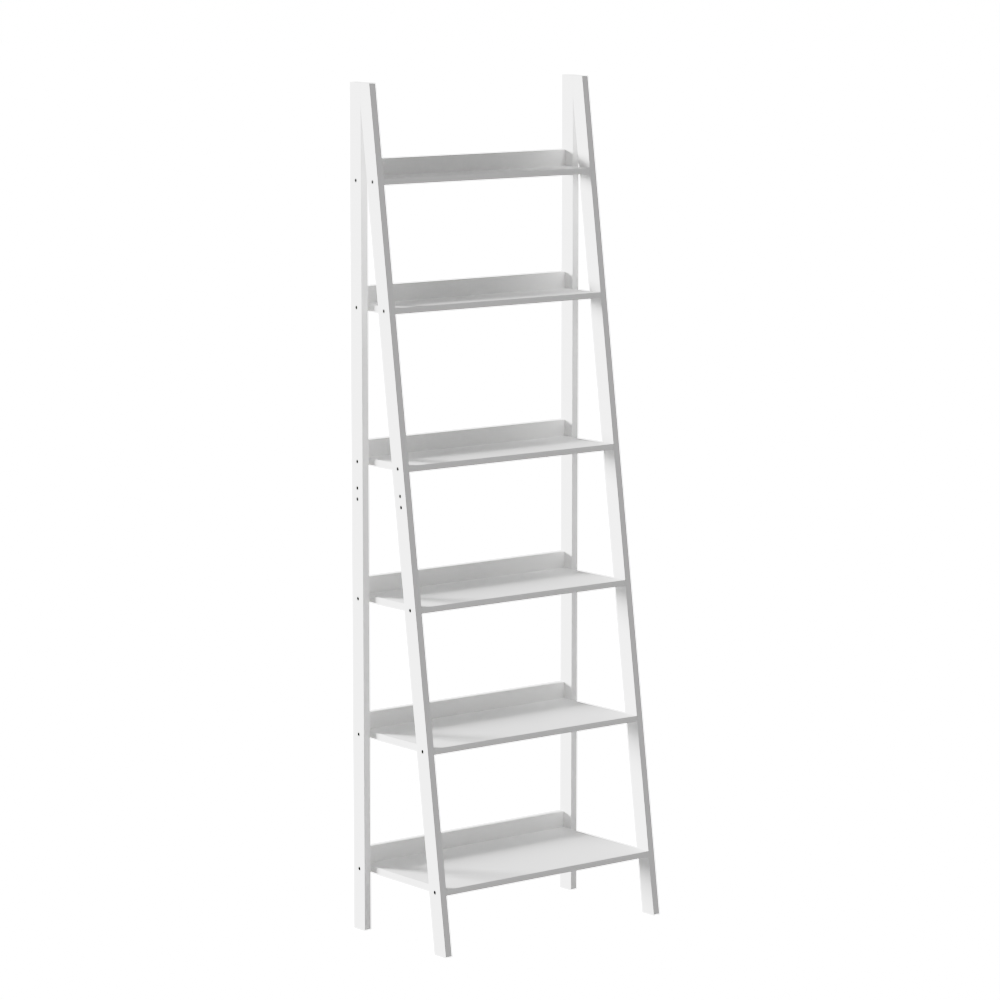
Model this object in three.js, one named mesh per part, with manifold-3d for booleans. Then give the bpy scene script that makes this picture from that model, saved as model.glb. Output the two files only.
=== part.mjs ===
// Ladder shelf in lacquered wood. Two upright rear posts stand against the wall, two front posts
// lean back and are cut to lie on them at the top, and six shelf boards span between the posts,
// each as deep as the lean leaves room for. A low gallery board stands along the back of each.
//
// Millimetres. +X runs to the right as seen from the front, +Y towards the wall, +Z up. The origin
// is on the floor, in the middle of the width and of the depth. "Left" and "right" are as seen from
// the front, and level 1 is the lowest shelf.

import * as THREE from 'three';
import { mergeVertices } from 'three/addons/utils/BufferGeometryUtils.js';
import Module from 'manifold-3d';

const wasm = await Module();
wasm.setup();

// Overall size
const HEIGHT = 2000;
const WIDTH = 650;
const DEPTH = 355;            // at the floor
const TOP_DEPTH = 73.5;       // at the top, from the wall to the front posts' front face

// Posts: every section is 19 x 40
const POST_THICK = 19;        // along X
const POST_DEPTH = 40;        // square to the post's length
const SPLICE_Z = 1044.5;      // where the lower and upper sections meet
const SPLICE_GAP = 0.3;       // hairline between the two sections

// Boards
const SHELF_THICK = 15;
const SHELF_UNDERSIDES = [139, 463.5, 788, 1112.5, 1473, 1767.5];
const GALLERY_THICK = 12;
const GALLERY_RISE = 40;      // above the shelf
const GALLERY_SEAT = 3;       // depth of the rebate that the gallery board stands in

// Fasteners: one head for all of them, sunk a little below the wood
const HEAD_RADIUS = 5;
const HEAD_HEIGHT = 3;
const HEAD_SINK = 0.3;
const SHANK_RADIUS = 2.5;
const SOCKET_RADIUS = 2.3;    // corner radius of the hexagon socket
const SOCKET_DEPTH = 2;
const SHELF_SCREW = 50;       // lengths, head included
const SPLICE_BOLT = 13;
const TOP_SCREW = 60;
const POINT_LENGTH = 3;       // taper at the tip of a fastener
const SPLICE_BOLT_PITCH = 26;
const TOP_SCREW_Z = 1980;
const CLEARANCE = 0.3;        // around every fastener and plate
const ROUND_SIDES = 10;

// Steel plate hidden inside each splice
const PLATE_THICK = 4;
const PLATE_DEPTH = 24;
const PLATE_LENGTH = 80;

// Places worked out from the sizes above
const WALL_Y = DEPTH / 2;
const FRONT_Y = -DEPTH / 2;
const REAR_POST_FRONT = WALL_Y - POST_DEPTH;
const INNER_X = WIDTH / 2 - POST_THICK;
const POST_X = WIDTH / 2 - POST_THICK / 2;
const LEAN = (DEPTH - TOP_DEPTH) / HEIGHT;
const LEAN_ANGLE = Math.atan(LEAN);
const LEANING_RUN = POST_DEPTH / Math.cos(LEAN_ANGLE);   // a front post's depth along Y
const frontFace = (z) => FRONT_Y + LEAN * z;
const frontCentre = (z) => frontFace(z) + LEANING_RUN / 2;
const POSTS_MEET_Z = (REAR_POST_FRONT - LEANING_RUN - FRONT_Y) / LEAN;

const SIDES = [
  { name: 'left', sign: -1 },
  { name: 'right', sign: 1 },
];
const ROWS = ['front', 'rear'];

// Materials
const lacquer = new THREE.MeshStandardMaterial({ color: 0xe9e9e7, roughness: 0.5, metalness: 0 });
const blackSteel = new THREE.MeshStandardMaterial({ color: 0x1c1c1e, roughness: 0.45, metalness: 0.9 });
const zincSteel = new THREE.MeshStandardMaterial({ color: 0xa9adb0, roughness: 0.4, metalness: 1 });

// ---- Solids --------------------------------------------------------------------------------

function toSolid(geometry) {
  const bare = geometry.clone();
  bare.deleteAttribute('normal');
  bare.deleteAttribute('uv');
  const merged = mergeVertices(bare);
  const index = merged.index.array;
  const triangles = [];
  for (let i = 0; i < index.length; i += 3) {
    const [a, b, c] = [index[i], index[i + 1], index[i + 2]];
    if (a !== b && b !== c && c !== a) triangles.push(a, b, c);
  }
  return new wasm.Manifold(new wasm.Mesh({
    numProp: 3,
    vertProperties: Float32Array.from(merged.attributes.position.array),
    triVerts: Uint32Array.from(triangles),
  }));
}

function toGeometry(solid) {
  const mesh = solid.getMesh();
  const geometry = new THREE.BufferGeometry();
  geometry.setAttribute('position', new THREE.BufferAttribute(mesh.vertProperties, 3));
  geometry.setIndex(new THREE.BufferAttribute(mesh.triVerts, 1));
  geometry.computeVertexNormals();
  return geometry;
}

// A block given by its lowest and highest corner.
function block(low, high) {
  const size = high.map((value, axis) => value - low[axis]);
  const middle = high.map((value, axis) => (value + low[axis]) / 2);
  return new THREE.BoxGeometry(...size).translate(...middle);
}

// An outline in the Y-Z plane, given thickness along X and centred on X = 0.
function sidePrism(outline, thickness) {
  const shape = new THREE.Shape(outline.map(([y, z]) => new THREE.Vector2(y, z)));
  const geometry = new THREE.ExtrudeGeometry(shape, { depth: thickness, bevelEnabled: false });
  const shapeToSide = new THREE.Matrix4().makeBasis(
    new THREE.Vector3(0, 1, 0),
    new THREE.Vector3(0, 0, 1),
    new THREE.Vector3(1, 0, 0),
  );
  return geometry.applyMatrix4(shapeToSide).translate(-thickness / 2, 0, 0);
}

// A round solid about Z from [radius, height] pairs, listed upwards.
function turned(profile) {
  const points = profile.map(([radius, height]) => new THREE.Vector2(radius, height));
  return new THREE.LatheGeometry(points, ROUND_SIDES).rotateX(Math.PI / 2);
}

// A fastener stands along Z with the middle of its head's face at the origin, looking up.
function fastenerSolid(length) {
  const body = toSolid(turned([
    [0, -length],
    [SHANK_RADIUS, POINT_LENGTH - length],
    [SHANK_RADIUS, -HEAD_HEIGHT],
    [HEAD_RADIUS, -HEAD_HEIGHT],
    [HEAD_RADIUS, 0],
    [0, 0],
  ]));
  const socket = new THREE.CylinderGeometry(SOCKET_RADIUS, SOCKET_RADIUS, 2 * SOCKET_DEPTH, 6);
  return body.subtract(toSolid(socket.rotateX(Math.PI / 2)));
}

// The hole that takes such a fastener, open above its head.
function pocketGeometry(length) {
  return turned([
    [0, -length - CLEARANCE],
    [SHANK_RADIUS + CLEARANCE, -length - CLEARANCE],
    [SHANK_RADIUS + CLEARANCE, -HEAD_HEIGHT - CLEARANCE],
    [HEAD_RADIUS + CLEARANCE, -HEAD_HEIGHT - CLEARANCE],
    [HEAD_RADIUS + CLEARANCE, 2 * HEAD_SINK],
    [0, 2 * HEAD_SINK],
  ]);
}

// ---- Fasteners -----------------------------------------------------------------------------

// Each fastener knows its place and the wooden or steel pieces that it passes through.
const fasteners = [];

function addFastener(name, length, position, rotation, holds) {
  const placing = new THREE.Object3D();
  placing.position.set(...position);
  placing.rotation.set(...rotation);
  placing.updateMatrix();
  fasteners.push({ name, length, position, rotation, holds, matrix: placing.matrix });
}

// A fastener driven into a post from its outer side, at a point of the Y-Z plane.
function addSideFastener(name, length, side, y, z, holds) {
  const headX = side.sign * (WIDTH / 2 - HEAD_SINK);
  addFastener(name, length, [headX, y, z], [0, side.sign * Math.PI / 2, 0], holds);
}

const postCentre = { front: frontCentre, rear: () => WALL_Y - POST_DEPTH / 2 };
const postSlope = { front: LEAN_ANGLE, rear: 0 };
const sectionAt = (z) => (z < SPLICE_Z ? 'lower' : 'upper');
const postName = (side, row, z) => `${side.name}_${row}_post_${sectionAt(z)}`;

for (const side of SIDES) {
  for (const row of ROWS) {
    SHELF_UNDERSIDES.forEach((underside, i) => {
      const z = underside + SHELF_THICK / 2;
      const holds = [postName(side, row, z), `shelf_${i + 1}`];
      const name = `shelf_screw_${side.name}_${row}_${i + 1}`;
      addSideFastener(name, SHELF_SCREW, side, postCentre[row](z), z, holds);
    });
    for (const step of [-1, 1]) {
      const z = SPLICE_Z + step * SPLICE_BOLT_PITCH / 2 * Math.cos(postSlope[row]);
      const holds = [postName(side, row, z), `splice_plate_${side.name}_${row}`];
      const name = `splice_bolt_${side.name}_${row}_${sectionAt(z)}`;
      addSideFastener(name, SPLICE_BOLT, side, postCentre[row](z), z, holds);
    }
  }
  const holds = [postName(side, 'rear', HEIGHT), postName(side, 'front', HEIGHT)];
  const headPlace = [side.sign * POST_X, WALL_Y - HEAD_SINK, TOP_SCREW_Z];
  addFastener(`top_screw_${side.name}`, TOP_SCREW, headPlace, [-Math.PI / 2, 0, 0], holds);
}

// ---- Scene graph ---------------------------------------------------------------------------

const group = new THREE.Group();

function addMesh(name, geometry, material) {
  const mesh = new THREE.Mesh(geometry, material);
  mesh.name = name;
  group.add(mesh);
  return mesh;
}

// Cuts the holes of the piece's fasteners, moved into the piece's own frame, and adds its mesh.
function addPiece(name, geometry, material, position, extraCuts = []) {
  const origin = new THREE.Vector3(...position);
  let solid = toSolid(geometry);
  for (const cut of extraCuts) {
    solid = solid.subtract(toSolid(cut));
  }
  for (const fastener of fasteners.filter((item) => item.holds.includes(name))) {
    const pocket = pocketGeometry(fastener.length).applyMatrix4(fastener.matrix);
    solid = solid.subtract(toSolid(pocket.translate(-origin.x, -origin.y, -origin.z)));
  }
  addMesh(name, toGeometry(solid), material).position.copy(origin);
}

// ---- Posts and their splices ---------------------------------------------------------------

// The two ends of a splice across a post, moved along the post by a distance.
function spliceEnds(row, along) {
  const slope = postSlope[row];
  const y = postCentre[row](SPLICE_Z) + along * Math.sin(slope);
  const z = SPLICE_Z + along * Math.cos(slope);
  const halfY = POST_DEPTH / 2 * Math.cos(slope);
  const halfZ = POST_DEPTH / 2 * Math.sin(slope);
  return { front: [y - halfY, z + halfZ], rear: [y + halfY, z - halfZ] };
}

// Splice plate, or with play the slot that it sits in, centred on X = 0.
function plateGeometry(row, play) {
  const size = [PLATE_THICK, PLATE_DEPTH, PLATE_LENGTH].map((value) => value + 2 * play);
  return new THREE.BoxGeometry(...size)
    .rotateX(-postSlope[row])
    .translate(0, postCentre[row](SPLICE_Z), SPLICE_Z);
}

function sectionOutlines(row) {
  const below = spliceEnds(row, -SPLICE_GAP / 2);
  const above = spliceEnds(row, SPLICE_GAP / 2);
  if (row === 'rear') {
    return {
      lower: [[REAR_POST_FRONT, 0], [WALL_Y, 0], below.rear, below.front],
      upper: [above.front, above.rear, [WALL_Y, HEIGHT], [REAR_POST_FRONT, HEIGHT]],
    };
  }
  const foot = [[FRONT_Y, 0], [FRONT_Y + LEANING_RUN, 0]];
  const head = [[REAR_POST_FRONT, POSTS_MEET_Z], [REAR_POST_FRONT, HEIGHT], [frontFace(HEIGHT), HEIGHT]];
  return {
    lower: [...foot, below.rear, below.front],
    upper: [above.front, above.rear, ...head],
  };
}

for (const side of SIDES) {
  for (const row of ROWS) {
    const position = [side.sign * POST_X, 0, 0];
    for (const [section, outline] of Object.entries(sectionOutlines(row))) {
      const name = `${side.name}_${row}_post_${section}`;
      addPiece(name, sidePrism(outline, POST_THICK), lacquer, position, [plateGeometry(row, CLEARANCE)]);
    }
    addPiece(`splice_plate_${side.name}_${row}`, plateGeometry(row, 0), zincSteel, position);
  }
}

// ---- Shelves and galleries -----------------------------------------------------------------

SHELF_UNDERSIDES.forEach((underside, i) => {
  const top = underside + SHELF_THICK;
  const seat = top - GALLERY_SEAT;
  const galleryFront = WALL_Y - GALLERY_THICK;
  const board = block([-INNER_X, frontFace(top), underside], [INNER_X, WALL_Y, top]);
  const rebate = block([-WIDTH, galleryFront - CLEARANCE, seat], [WIDTH, DEPTH, top + SHELF_THICK]);
  const gallery = block([-INNER_X, galleryFront, seat], [INNER_X, WALL_Y, top + GALLERY_RISE]);
  addPiece(`shelf_${i + 1}`, board, lacquer, [0, 0, 0], [rebate]);
  addPiece(`gallery_${i + 1}`, gallery, lacquer, [0, 0, 0]);
});

// ---- Screws and bolts ----------------------------------------------------------------------

for (const { name, length, position, rotation } of fasteners) {
  const mesh = addMesh(name, toGeometry(fastenerSolid(length)), blackSteel);
  mesh.position.set(...position);
  mesh.rotation.set(...rotation);
}

export default group;
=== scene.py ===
"""Ladder shelf in white lacquered wood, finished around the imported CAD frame.

Every wooden piece takes its outline from its CAD node, and gets rounded arrises, real counterbores
and a sprayed lacquer surface. Every screw, bolt and splice plate is rebuilt with its own detail.
Metres, in the frame's own axes: +X right, +Y towards the wall, +Z up.
"""

import math

import bmesh
import bpy
from mathutils import Matrix, Vector


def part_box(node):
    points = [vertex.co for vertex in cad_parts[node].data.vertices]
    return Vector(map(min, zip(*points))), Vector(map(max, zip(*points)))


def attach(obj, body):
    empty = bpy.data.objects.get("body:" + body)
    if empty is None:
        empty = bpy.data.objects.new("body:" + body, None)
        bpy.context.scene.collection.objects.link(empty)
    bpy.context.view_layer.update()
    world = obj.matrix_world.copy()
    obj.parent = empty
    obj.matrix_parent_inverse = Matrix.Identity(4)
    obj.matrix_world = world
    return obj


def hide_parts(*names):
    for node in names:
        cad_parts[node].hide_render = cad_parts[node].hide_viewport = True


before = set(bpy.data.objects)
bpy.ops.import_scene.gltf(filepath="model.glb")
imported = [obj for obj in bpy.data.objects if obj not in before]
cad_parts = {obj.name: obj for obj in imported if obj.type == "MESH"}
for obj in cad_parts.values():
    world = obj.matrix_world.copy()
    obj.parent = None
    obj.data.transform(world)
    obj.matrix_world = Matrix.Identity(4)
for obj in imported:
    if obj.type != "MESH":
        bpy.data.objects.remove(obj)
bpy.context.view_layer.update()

MM = 0.001
BODY = "root"

# Camera: what it aims at, and from where
AIM = Vector((-0.025, 0.0, 1.020))
AZIMUTH = math.radians(-38.31)
ELEVATION = math.radians(8.578)
DISTANCE = 9.316
SENSOR_WIDTH = 36.0
FOCAL_LENGTH = 142.64

# Light: a wide key from behind on the left, low down, in an even white room
KEY_TRAVEL = Vector((0.50, -0.83, -0.215))
KEY_STRENGTH = 9.15
KEY_SPREAD = math.radians(20)
ROOM_LIGHT = 0.22
PAPER_WHITE = 3.1              # light level that comes out as white
FLOOR_ALBEDO = 0.05
FLOOR_LIGHT = 0.25             # that the floor gives the object from below
FLOOR_RADIUS = 60.0

# Film response, which holds back the highlights
FILM_CEILING = 0.96
FILM_HALF = 0.30               # light level that comes out at half the ceiling
FILM_STEEPNESS = 1.3
FILM_STEPS = 16

# Outlines read back from the CAD meshes
WELD = 0.01 * MM               # points nearer than this are one
FLAT = math.radians(0.5)       # faces that meet at less than this are one

# Wood
LONG_ARRIS = 0.5 * MM          # radius along the length of a post or board
LONG_ARRIS_STEPS = 3
END_ARRIS = 0.25 * MM          # radius round the sawn ends
END_ARRIS_STEPS = 2
LONG_SHARE = 0.6               # of the longest edge, above which an edge runs along the piece
STILL_SHARP = math.radians(40)
SMOOTH_LIMIT = math.radians(50)
FLAT_FACE = 1e-4               # square metres, above which a face is not part of an arris

SPLICE_Z = 1044.5 * MM
SPLICE_REACH = 20 * MM         # the ends of a splice lie within this of its height
SPLICE_SHIFT = {"lower": 0.12 * MM, "upper": -0.12 * MM}   # leaves a hairline between the ends
SEAT_PLAY = 0.05 * MM          # in front of a gallery board in its rebate
REBATE_REACH = 20 * MM         # of the rebate's cutter beyond the board

# Fasteners: the head, socket and clearance are as in the CAD
HEAD_RADIUS = 5.0 * MM
HEAD_HEIGHT = 3.0 * MM
HEAD_SINK = 0.3 * MM
HEAD_ROUND = 0.3 * MM
SHANK_RADIUS = 2.5 * MM
THREAD_DEPTH = 0.55 * MM
THREAD_PITCH = 2.2 * MM
THREAD_STEPS = 4               # rings to each pitch
PLAIN_SHANK = 2.0 * MM         # under the head, before the thread
POINT_LENGTH = 4.0 * MM
SOCKET_RADIUS = 2.3 * MM       # at the corners of the hexagon
SOCKET_DEPTH = 2.0 * MM
SOCKET_CHAMFER = 0.15 * MM
CLEARANCE = 0.3 * MM
MOUTH_CHAMFER = 0.1 * MM
MOUTH_FLARE = 2 * MM           # of the hole's cutter beyond the wood
ROUND_SIDES = 36
GALLERY_SCREW_X = 0.2          # of each gallery board's two screws, from the middle
GALLERY_SCREW_LENGTH = 35 * MM
GALLERY_SCREW_SCALE = 0.65     # the same screw in a smaller size

# Paint, in linear colours
PAINT_DULL = (0.874, 0.873, 0.868, 1)
PAINT_CLEAN = (0.912, 0.912, 0.909, 1)
UNDERCOAT = (0.74, 0.72, 0.68, 1)

GRAIN_RELIEF = 0.03 * MM       # depth of the grain under the lacquer
METAL_RELIEF = 0.01 * MM       # depth of the marks in the metals' surface

LEVELS = range(1, 7)
SIDES = ("left", "right")
ROWS = ("front", "rear")
SECTIONS = ("lower", "upper")


# ---- Meshes --------------------------------------------------------------------------------

def add_object(name, mesh):
    obj = bpy.data.objects.new(name, mesh)
    bpy.context.scene.collection.objects.link(obj)
    return obj


def to_mesh(name, bm):
    mesh = bpy.data.meshes.new(name)
    bm.to_mesh(mesh)
    bm.free()
    return mesh


def hull_of(node):
    """The outline of a convex CAD node, with one face to each flat side."""
    bm = bmesh.new()
    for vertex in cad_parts[node].data.vertices:
        bm.verts.new(vertex.co)
    bmesh.ops.remove_doubles(bm, verts=bm.verts, dist=WELD)
    made = bmesh.ops.convex_hull(bm, input=bm.verts, use_existing_faces=False)
    left_over = made["geom_interior"] + made["geom_unused"]
    spare = {item for item in left_over if isinstance(item, bmesh.types.BMVert)}
    bmesh.ops.delete(bm, geom=list(spare), context="VERTS")
    bmesh.ops.dissolve_limit(bm, angle_limit=FLAT, verts=bm.verts, edges=bm.edges)
    bmesh.ops.recalc_face_normals(bm, faces=bm.faces)
    return bm


def round_arrises(bm):
    """Rounds the edges along the piece, then the smaller ones round its ends."""
    lengths = {edge: edge.calc_length() for edge in bm.edges}
    limit = LONG_SHARE * max(lengths.values())
    long_edges = [edge for edge, length in lengths.items() if length > limit]
    bevel(bm, long_edges, LONG_ARRIS, LONG_ARRIS_STEPS)
    sharp = [edge for edge in bm.edges if edge.calc_face_angle(0) > STILL_SHARP]
    bevel(bm, sharp, END_ARRIS, END_ARRIS_STEPS)


def close_splice(bm, name):
    """Draws the spliced end of a post's section up to its neighbour."""
    shift = SPLICE_SHIFT.get(name.rsplit("_", 1)[-1], 0.0)
    for vertex in bm.verts:
        if abs(vertex.co.z - SPLICE_Z) < SPLICE_REACH:
            vertex.co.z += shift


def bevel(bm, edges, radius, steps):
    bmesh.ops.bevel(bm, geom=edges, offset=radius, segments=steps, profile=0.5, affect="EDGES")


def cut(obj, cutter):
    """Takes the cutter's shape out of the object's mesh."""
    tool = add_object("cutter", cutter)
    modifier = obj.modifiers.new("cut", "BOOLEAN")
    modifier.operation = "DIFFERENCE"
    modifier.solver = "EXACT"
    modifier.object = tool
    graph = bpy.context.evaluated_depsgraph_get()
    finished = bpy.data.meshes.new_from_object(obj.evaluated_get(graph), depsgraph=graph)
    obj.modifiers.clear()
    spent = obj.data
    obj.data = finished
    finished.name = obj.name
    bpy.data.objects.remove(tool)
    bpy.data.meshes.remove(spent)


def mark_arrises(mesh):
    """Stores on each point whether it lies inside a rounded edge, for the wear in the lacquer."""
    largest = [0.0] * len(mesh.vertices)
    for polygon in mesh.polygons:
        for index in polygon.vertices:
            largest[index] = max(largest[index], polygon.area)
    attribute = mesh.attributes.new("arris", "FLOAT", "POINT")
    attribute.data.foreach_set("value", [float(area < FLAT_FACE) for area in largest])


def smooth(obj):
    """Smooth arrises between faces that stay flat."""
    obj.data.shade_smooth()
    obj.data.set_sharp_from_angle(angle=SMOOTH_LIMIT)
    weighted = obj.modifiers.new("weighted_normals", "WEIGHTED_NORMAL")
    weighted.keep_sharp = True


def finish_piece(obj, material, slot, *nodes):
    obj.data.materials.clear()
    obj.data.materials.append(material)
    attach(obj, BODY)
    if nodes:
        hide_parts(*nodes)


# ---- Turned shapes -------------------------------------------------------------------------

def skin(rings):
    """A closed surface through rings of (height, radius). A radius may be a function of the angle."""
    bm = bmesh.new()
    angles = [2 * math.pi * i / ROUND_SIDES for i in range(ROUND_SIDES)]
    loops = []
    for height, radius in rings:
        if radius == 0:
            loops.append([bm.verts.new((0, 0, height))])
            continue
        loop = []
        for angle in angles:
            r = radius(angle) if callable(radius) else radius
            loop.append(bm.verts.new((r * math.cos(angle), r * math.sin(angle), height)))
        loops.append(loop)
    for lower, upper in zip(loops, loops[1:]):
        for i in range(ROUND_SIDES):
            j = (i + 1) % ROUND_SIDES
            near = (lower[i % len(lower)], lower[j % len(lower)])
            far = (upper[j % len(upper)], upper[i % len(upper)])
            bm.faces.new(dict.fromkeys(near + far))
    return bm


def hexagon(corner_radius):
    """Radius of a hexagon at an angle, with corners of the given radius."""
    sector = math.pi / 3

    def radius(angle):
        return corner_radius * math.cos(sector / 2) / math.cos(angle % sector - sector / 2)

    return radius


def thread(height, fade):
    """Radius of a threaded shank at an angle, at one height."""

    def radius(angle):
        phase = (height / THREAD_PITCH - angle / (2 * math.pi)) % 1
        ridge = 1 - abs(2 * phase - 1)
        return fade * (SHANK_RADIUS - THREAD_DEPTH * (1 - ridge))

    return radius


def fastener_mesh(length):
    """A socket-head screw along Z, with the middle of its head's face at the origin, looking up."""
    rings = [(-length, 0)]
    thread_top = -HEAD_HEIGHT - PLAIN_SHANK
    step = THREAD_PITCH / THREAD_STEPS
    count = int((length + thread_top) / step)
    for i in range(1, count):
        height = -length + i * step
        fade = min(1.0, (height + length) / POINT_LENGTH)
        rings.append((height, thread(height, fade)))
    rings += [
        (thread_top, SHANK_RADIUS),
        (-HEAD_HEIGHT, SHANK_RADIUS),
        (-HEAD_HEIGHT, HEAD_RADIUS - HEAD_ROUND),
        (-HEAD_HEIGHT + HEAD_ROUND, HEAD_RADIUS),
        (-HEAD_ROUND, HEAD_RADIUS),
        (-HEAD_ROUND / 3, HEAD_RADIUS - HEAD_ROUND / 3),
        (0, HEAD_RADIUS - HEAD_ROUND),
        (0, hexagon(SOCKET_RADIUS + SOCKET_CHAMFER)),
        (-SOCKET_CHAMFER, hexagon(SOCKET_RADIUS)),
        (-SOCKET_DEPTH, hexagon(SOCKET_RADIUS)),
        (-SOCKET_DEPTH - SOCKET_RADIUS / 3, 0),
    ]
    return to_mesh("fastener", skin(rings))


def pocket_mesh(length, place):
    """The hole that takes a fastener, chamfered at its mouth and open above the head."""
    wide = HEAD_RADIUS + CLEARANCE
    narrow = SHANK_RADIUS + CLEARANCE
    bm = skin([
        (-length - CLEARANCE, 0),
        (-length - CLEARANCE, narrow),
        (-HEAD_HEIGHT - CLEARANCE, narrow),
        (-HEAD_HEIGHT - CLEARANCE, wide),
        (HEAD_SINK - MOUTH_CHAMFER, wide),
        (HEAD_SINK + MOUTH_FLARE, wide + MOUTH_CHAMFER + MOUTH_FLARE),
        (HEAD_SINK + MOUTH_FLARE, 0),
    ])
    bmesh.ops.transform(bm, matrix=place, verts=bm.verts)
    return to_mesh("pocket", bm)


# ---- Places of the fasteners ---------------------------------------------------------------

def facing(point, outward):
    """The matrix that puts Z along outward, with the origin at a point."""
    return Matrix.Translation(point) @ outward.to_track_quat("Z", "Y").to_matrix().to_4x4()


def cad_fastener(node):
    """Length and place of a CAD fastener. It lies along one axis, its head away from the middle."""
    low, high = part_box(node)
    size = high - low
    axis = max(range(3), key=lambda i: size[i])
    middle = (low + high) / 2
    outward = Vector((0, 0, 0))
    outward[axis] = math.copysign(1, middle[axis])
    return size[axis], facing(middle + outward * size[axis] / 2, outward)


def list_fasteners():
    """Each fastener as name: (length, place, names of the pieces that it passes through)."""
    found = {}
    for side in SIDES:
        for row in ROWS:
            sections = [f"{side}_{row}_post_{section}" for section in SECTIONS]
            for level in LEVELS:
                name = f"shelf_screw_{side}_{row}_{level}"
                found[name] = (*cad_fastener(name), [*sections, f"shelf_{level}"])
            for section in SECTIONS:
                name = f"splice_bolt_{side}_{row}_{section}"
                found[name] = (*cad_fastener(name), [*sections, f"splice_plate_{side}_{row}"])
        name = f"top_screw_{side}"
        found[name] = (*cad_fastener(name), [f"{side}_{row}_post_upper" for row in ROWS])
    for level in LEVELS:
        low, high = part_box(f"gallery_{level}")
        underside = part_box(f"shelf_{level}")[0].z
        for side, sign in zip(SIDES, (-1, 1)):
            depth = GALLERY_SCREW_SCALE * HEAD_SINK
            head = Vector((sign * GALLERY_SCREW_X, (low.y + high.y) / 2, underside + depth))
            place = facing(head, Vector((0, 0, -1))) @ Matrix.Scale(GALLERY_SCREW_SCALE, 4)
            length = GALLERY_SCREW_LENGTH / GALLERY_SCREW_SCALE
            holds = [f"shelf_{level}", f"gallery_{level}"]
            found[f"gallery_screw_{level}_{side}"] = (length, place, holds)
    return found


def reaches(length, place, node):
    """Whether a fastener's line passes through a node's box."""
    low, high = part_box(node)
    tip = place @ Vector((0, 0, -length))
    head = place.translation
    near = Vector(map(min, tip, head))
    far = Vector(map(max, tip, head))
    return all(near[i] < high[i] and far[i] > low[i] for i in range(3))


# ---- Materials -----------------------------------------------------------------------------

def add_node(tree, kind, settings=None, inputs=None):
    node = tree.nodes.new("ShaderNode" + kind)
    for key, value in (settings or {}).items():
        setattr(node, key, value)
    for key, value in (inputs or {}).items():
        if isinstance(value, bpy.types.NodeSocket):
            tree.links.new(value, node.inputs[key])
        else:
            node.inputs[key].default_value = value
    return node


def new_material(name):
    """A material with a Principled shader, its tree and its object coordinates."""
    material = bpy.data.materials.new(name)
    material.use_nodes = True
    tree = material.node_tree
    shader = tree.nodes["Principled BSDF"]
    coordinates = add_node(tree, "TexCoord").outputs["Object"]
    return material, tree, shader, coordinates


def noise(tree, coordinates, scale, detail, roughness=0.5):
    values = {"Vector": coordinates, "Scale": scale, "Detail": detail, "Roughness": roughness}
    return add_node(tree, "TexNoise", inputs=values).outputs["Fac"]


def remap(tree, value, low, high, from_low=0.0, from_high=1.0):
    source = {"Value": value, "From Min": from_low, "From Max": from_high}
    target = {"To Min": low, "To Max": high}
    return add_node(tree, "MapRange", inputs=source | target).outputs["Result"]


def math_node(tree, operation, first, second):
    return add_node(tree, "Math", {"operation": operation}, {0: first, 1: second}).outputs["Value"]


def weighted_sum(tree, *terms):
    total = 0.0
    for value, weight in terms:
        total = math_node(tree, "ADD", math_node(tree, "MULTIPLY", value, weight), total)
    return total


def blend_colours(tree, factor, first, second):
    node = add_node(tree, "Mix", {"data_type": "RGBA"}, {0: factor, 6: first, 7: second})
    return node.outputs[2]


def grain(tree, coordinates, stretch, scale, detail, roughness=0.5):
    """Noise drawn out along the local Z of its coordinates."""
    values = {"Vector": coordinates, "Scale": (1, 1, stretch)}
    drawn = add_node(tree, "Mapping", inputs=values).outputs[0]
    return noise(tree, drawn, scale, detail, roughness)


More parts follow.
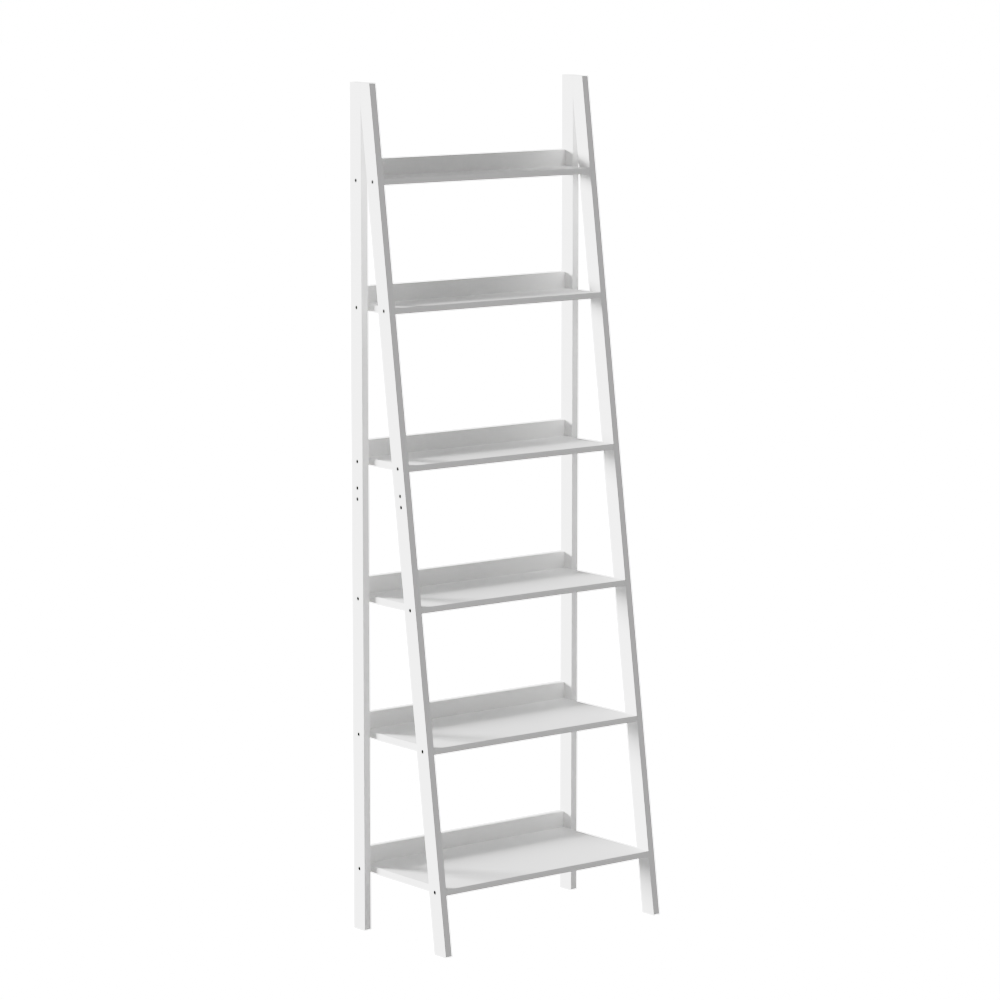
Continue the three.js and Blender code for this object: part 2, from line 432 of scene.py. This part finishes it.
def lacquer(name, grain_turn, end_axis):
    """Sprayed matt white lacquer over wood, whose grain shows through faintly.

    The grain runs along Z turned by grain_turn. The sawn ends face along end_axis.
    """
    material, tree, shader, coordinates = new_material(name)
    turn = {"Vector": coordinates, "Rotation": grain_turn}
    along = add_node(tree, "Mapping", {"vector_type": "TEXTURE"}, turn).outputs[0]
    fibres = grain(tree, along, 0.03, 1300, 3, 0.55)
    pores = remap(tree, grain(tree, along, 0.06, 850, 2), 0, 1, 0.62, 0.76)
    bands = grain(tree, along, 0.035, 55, 3)
    clouds = noise(tree, coordinates, 5, 4)
    peel = noise(tree, coordinates, 1100, 1)
    specks = noise(tree, coordinates, 260, 3, 0.7)

    normal = add_node(tree, "SeparateXYZ", inputs={0: coordinates.node.outputs["Normal"]})
    facing_end = math_node(tree, "ABSOLUTE", normal.outputs[end_axis], 0)
    sawn = remap(tree, facing_end, 0, 1, 0.85, 0.97)
    arris = add_node(tree, "Attribute", {"attribute_name": "arris"}).outputs["Fac"]
    worn = math_node(tree, "MULTIPLY", arris, remap(tree, specks, 0, 0.5, 0.48, 0.72))
    thin = math_node(tree, "MAXIMUM", worn, math_node(tree, "MULTIPLY", sawn, 0.12))

    tone = weighted_sum(tree, (clouds, 0.12), (bands, 0.08), (fibres, 0.8))
    paint = blend_colours(tree, remap(tree, tone, 0, 1, 0.35, 0.65), PAINT_DULL, PAINT_CLEAN)
    tree.links.new(blend_colours(tree, thin, paint, UNDERCOAT), shader.inputs["Base Color"])

    matt = remap(tree, noise(tree, coordinates, 34, 4), 0.56, 0.66, 0.3, 0.7)
    rough = math_node(tree, "ADD", matt, math_node(tree, "MULTIPLY", thin, 0.2))
    tree.links.new(rough, shader.inputs["Roughness"])

    relief = weighted_sum(tree, (fibres, 0.7), (peel, 0.4), (pores, -1.2))
    bump = add_node(tree, "Bump", inputs={"Height": relief, "Distance": GRAIN_RELIEF})
    tree.links.new(bump.outputs["Normal"], shader.inputs["Normal"])
    shader.inputs["Specular IOR Level"].default_value = 0.25
    return material


def black_oxide():
    """Oxide-blacked steel, a little brown where it is thin."""
    material, tree, shader, coordinates = new_material("black_oxide")
    mottle = noise(tree, coordinates, 700, 5, 0.6)
    factor = remap(tree, mottle, 0, 1, 0.4, 0.7)
    colour = blend_colours(tree, factor, (0.006, 0.006, 0.007, 1), (0.018, 0.016, 0.014, 1))
    tree.links.new(colour, shader.inputs["Base Color"])
    tree.links.new(remap(tree, mottle, 0.42, 0.62), shader.inputs["Roughness"])
    turning = noise(tree, coordinates, 2600, 2)
    relief = {"Height": turning, "Distance": METAL_RELIEF, "Strength": 0.6}
    bump = add_node(tree, "Bump", inputs=relief)
    tree.links.new(bump.outputs["Normal"], shader.inputs["Normal"])
    shader.inputs["Metallic"].default_value = 0.6
    shader.inputs["Specular IOR Level"].default_value = 0.3
    return material


def zinc_plate():
    """Zinc-plated steel with its spangle."""
    material, tree, shader, coordinates = new_material("zinc_plate")
    crystals = add_node(tree, "TexVoronoi", inputs={"Vector": coordinates, "Scale": 240})
    spangle = add_node(tree, "RGBToBW", inputs={0: crystals.outputs["Color"]}).outputs[0]
    colour = blend_colours(tree, spangle, (0.50, 0.52, 0.54, 1), (0.68, 0.70, 0.72, 1))
    tree.links.new(colour, shader.inputs["Base Color"])
    tree.links.new(remap(tree, spangle, 0.28, 0.46), shader.inputs["Roughness"])
    fine = noise(tree, coordinates, 1500, 3)
    relief = {"Height": fine, "Distance": METAL_RELIEF, "Strength": 0.4}
    bump = add_node(tree, "Bump", inputs=relief)
    tree.links.new(bump.outputs["Normal"], shader.inputs["Normal"])
    shader.inputs["Metallic"].default_value = 1.0
    return material


# ---- Pieces --------------------------------------------------------------------------------

def grown(bm, gap):
    """Moves every side of a block outwards by the gap."""
    for vertex in bm.verts:
        outward = sum((face.normal for face in vertex.link_faces), Vector())
        vertex.co += outward * gap
    return bm


def rebate_cutter(level):
    """The seat along the back of a shelf board in which its gallery board stands."""
    low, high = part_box(f"gallery_{level}")
    near = Vector((low.x - REBATE_REACH, low.y - SEAT_PLAY, low.z))
    far = Vector((high.x + REBATE_REACH, high.y + REBATE_REACH, high.z))
    bm = bmesh.new()
    bmesh.ops.create_cube(bm, size=1)
    size = far - near
    for vertex in bm.verts:
        vertex.co = near + Vector((vertex.co[i] + 0.5) * size[i] for i in range(3))
    return to_mesh("rebate", bm)


def build_solid(name, material, slot, fasteners, cutters=()):
    """A wooden or steel piece: its rounded outline, less its slots and its fasteners' holes."""
    bm = hull_of(name)
    close_splice(bm, name)
    round_arrises(bm)
    obj = add_object(f"{name}_piece", to_mesh(name, bm))
    for cutter in cutters:
        cut(obj, cutter)
    for length, place, holds in fasteners.values():
        if name in holds and reaches(length, place, name):
            cut(obj, pocket_mesh(length, place))
    mark_arrises(obj.data)
    smooth(obj)
    finish_piece(obj, material, slot, name)


def build_posts(fasteners):
    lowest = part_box("shelf_1")[0]
    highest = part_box("shelf_6")[0]
    lean = math.atan2(highest.y - lowest.y, highest.z - lowest.z)
    upright = lacquer("lacquer_upright", (0, 0, 0), "Z")
    leaning = lacquer("lacquer_leaning", (-lean, 0, 0), "Z")
    zinc = zinc_plate()
    for side in SIDES:
        for row, material in zip(ROWS, (leaning, upright)):
            plate = f"splice_plate_{side}_{row}"
            for section in SECTIONS:
                name = f"{side}_{row}_post_{section}"
                slot_cutter = to_mesh("plate_slot", grown(hull_of(plate), CLEARANCE))
                build_solid(name, material, "white_lacquer", fasteners, [slot_cutter])
            build_solid(plate, zinc, "zinc_steel", fasteners)


def build_boards(fasteners):
    along_x = lacquer("lacquer_board", (0, math.pi / 2, 0), "X")
    for level in LEVELS:
        build_solid(f"shelf_{level}", along_x, "white_lacquer", fasteners, [rebate_cutter(level)])
        build_solid(f"gallery_{level}", along_x, "white_lacquer", fasteners)


def build_fasteners(fasteners):
    material = black_oxide()
    for name, (length, place, _) in fasteners.items():
        mesh = fastener_mesh(length)
        mesh.transform(place)
        is_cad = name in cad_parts
        obj = add_object(f"{name}_piece" if is_cad else name, mesh)
        smooth(obj)
        finish_piece(obj, material, "black_steel", *([name] if is_cad else []))


# ---- Stage ---------------------------------------------------------------------------------

def build_floor():
    bm = bmesh.new()
    bmesh.ops.create_circle(bm, cap_ends=True, radius=FLOOR_RADIUS, segments=128)
    floor = add_object("floor", to_mesh("floor", bm))
    material, tree, shader, coordinates = new_material("pale_floor")
    grit = remap(tree, noise(tree, coordinates, 40, 3), FLOOR_ALBEDO - 0.01, FLOOR_ALBEDO + 0.01)
    grey = add_node(tree, "CombineColor", inputs={0: grit, 1: grit, 2: grit}).outputs[0]
    tree.links.new(grey, shader.inputs["Base Color"])
    shader.inputs["Roughness"].default_value = 1.0
    shader.inputs["Specular IOR Level"].default_value = 0.0
    shader.inputs["Emission Color"].default_value = (1, 1, 1, 1)
    seen = add_node(tree, "LightPath").outputs["Is Camera Ray"]
    tree.links.new(remap(tree, seen, FLOOR_LIGHT, PAPER_WHITE), shader.inputs["Emission Strength"])
    floor.data.materials.append(material)


def build_light():
    world = bpy.data.worlds.new("studio")
    bpy.context.scene.world = world
    world.use_nodes = True
    tree = world.node_tree
    seen = add_node(tree, "LightPath").outputs["Is Camera Ray"]
    background = tree.nodes["Background"]
    background.inputs["Color"].default_value = (1, 1, 1, 1)
    tree.links.new(remap(tree, seen, ROOM_LIGHT, PAPER_WHITE), background.inputs["Strength"])
    key = bpy.data.lights.new("key", "SUN")
    key.energy = KEY_STRENGTH
    key.angle = KEY_SPREAD
    lamp = add_object("key", key)
    lamp.rotation_euler = KEY_TRAVEL.to_track_quat("-Z", "Y").to_euler()


def build_camera():
    data = bpy.data.cameras.new("camera")
    data.sensor_width = SENSOR_WIDTH
    data.lens = FOCAL_LENGTH
    data.clip_end = 2 * FLOOR_RADIUS
    camera = add_object("camera", data)
    level = math.cos(ELEVATION)
    back = Vector((math.sin(AZIMUTH) * level, -math.cos(AZIMUTH) * level, math.sin(ELEVATION)))
    camera.location = AIM + back * DISTANCE
    camera.rotation_euler = (-back).to_track_quat("-Z", "Y").to_euler()
    bpy.context.scene.camera = camera


def film_response(light):
    """What a light level comes out as, both linear."""
    return FILM_CEILING / (1 + (FILM_HALF / light) ** FILM_STEEPNESS)


def build_film():
    """Gives the picture the response of film."""
    view = bpy.context.scene.view_settings
    view.view_transform = "Standard"
    view.use_curve_mapping = True
    response = view.curve_mapping
    response.extend = "HORIZONTAL"
    response.white_level = (PAPER_WHITE, PAPER_WHITE, PAPER_WHITE)
    for step in range(1, FILM_STEPS):
        share = (step / FILM_STEPS) ** 2     # of white, in finer steps where it is dark
        response.curves[3].points.new(share, film_response(share * PAPER_WHITE))
    response.update()


build_camera()
build_film()
all_fasteners = list_fasteners()
build_posts(all_fasteners)
build_boards(all_fasteners)
build_fasteners(all_fasteners)
build_floor()
build_light()

bpy.context.view_layer.update()
